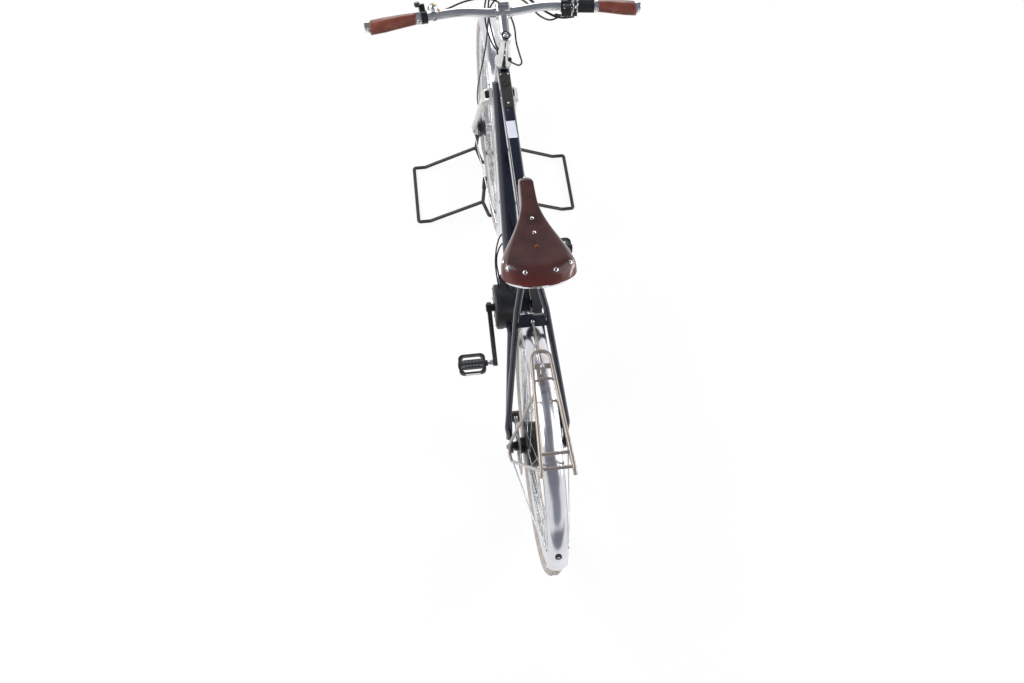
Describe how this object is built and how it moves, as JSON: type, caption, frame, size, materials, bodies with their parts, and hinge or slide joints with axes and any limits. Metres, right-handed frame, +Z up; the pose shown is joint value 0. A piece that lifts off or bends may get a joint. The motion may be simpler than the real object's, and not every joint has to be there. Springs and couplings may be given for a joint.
{
  "type": "electric bicycle",
  "caption": "Town electric bicycle with mid motor, hub gear, leather saddle and grips, mudguards and rack, standing in a bent-bar display stand.",
  "frame": {"origin": "on the floor, midway along and across the whole bicycle", "axes": "+Y in the direction of travel, +X to the rider's right, +Z up"},
  "size_m": [0.684, 1.8196, 1.0845],
  "materials": {
    "navy_paint": "gloss dark navy lacquer",
    "charcoal_panel": "matt charcoal",
    "black_plastic": "matt black",
    "black_metal": "satin black anodised",
    "polished_aluminium": "polished",
    "silver_paint": "light silver grey lacquer",
    "champagne_tube": "brownish silver lacquer",
    "steel": "plain",
    "chromed_steel": "polished",
    "brown_leather": "waxed brown",
    "cream_tyre": "tan sidewall, pale tread",
    "belt_rubber": "moulded",
    "black_bar": "black powder coat"
  },
  "bodies": {
    "frame": {"head_tube": "navy_paint", "top_tube": "navy_paint", "down_tube": "navy_paint", "seat_tube": "navy_paint", "chain_stays": "navy_paint", "seat_stays": "navy_paint", "top_tube_panel": "charcoal_panel", "motor_housing": "black_plastic", "seatpost": "polished_aluminium", "saddle_leather": "brown_leather", "saddle_frame": "chromed_steel", "rear_mudguard": "polished_aluminium", "rear_rack": "champagne_tube", "guard_grommet": "belt_rubber", "drive_belt": "belt_rubber", "belt_guard": "black_plastic", "rear_calliper": "black_metal", "motor_cables": "black_plastic"},
    "rear_wheel": {"rear_tyre": "cream_tyre", "rear_rim": "polished_aluminium", "rear_spokes": "steel", "rear_hub": "black_metal", "rear_brake_disc": "steel"},
    "cranks": {"crank_arms": "black_metal", "front_pulley": "black_metal"},
    "left_pedal_body": {"left_pedal": "black_plastic"},
    "right_pedal_body": {"right_pedal": "black_plastic"},
    "steering": {"fork": "silver_paint", "stem": "polished_aluminium", "handlebar": "polished_aluminium", "grips": "brown_leather", "grip_clamps": "polished_aluminium", "brake_levers": "black_metal", "twist_shifter": "black_plastic", "bell": "chromed_steel", "front_mudguard": "polished_aluminium", "front_calliper": "black_metal", "bar_cables": "black_plastic", "wheel_stand": "black_bar"},
    "front_wheel": {"front_tyre": "cream_tyre", "front_rim": "polished_aluminium", "front_spokes": "steel", "front_hub": "polished_aluminium", "front_brake_disc": "steel"}
  },
  "joints": [
    {"name": "steering", "type": "hinge", "parent": "frame", "child": "steering", "pos_m": [0, 0.337, 0.80275], "axis": [0, -0.342, 0.9397], "range_deg": [-60, 60]},
    {"name": "front_wheel_spin", "type": "hinge", "parent": "steering", "child": "front_wheel", "pos_m": [0, 0.555, 0.35], "axis": [1, 0, 0], "continuous": true},
    {"name": "rear_wheel_spin", "type": "hinge", "parent": "frame", "child": "rear_wheel", "pos_m": [0, -0.555, 0.35], "axis": [1, 0, 0], "continuous": true},
    {"name": "crank_spin", "type": "hinge", "parent": "frame", "child": "cranks", "pos_m": [0, -0.08381, 0.29], "axis": [1, 0, 0], "continuous": true},
    {"name": "left_pedal_spin", "type": "hinge", "parent": "cranks", "child": "left_pedal_body", "pos_m": [0, -0.25009, 0.25466], "axis": [1, 0, 0], "continuous": true},
    {"name": "right_pedal_spin", "type": "hinge", "parent": "cranks", "child": "right_pedal_body", "pos_m": [0, 0.08248, 0.32534], "axis": [1, 0, 0], "continuous": true}
  ]
}
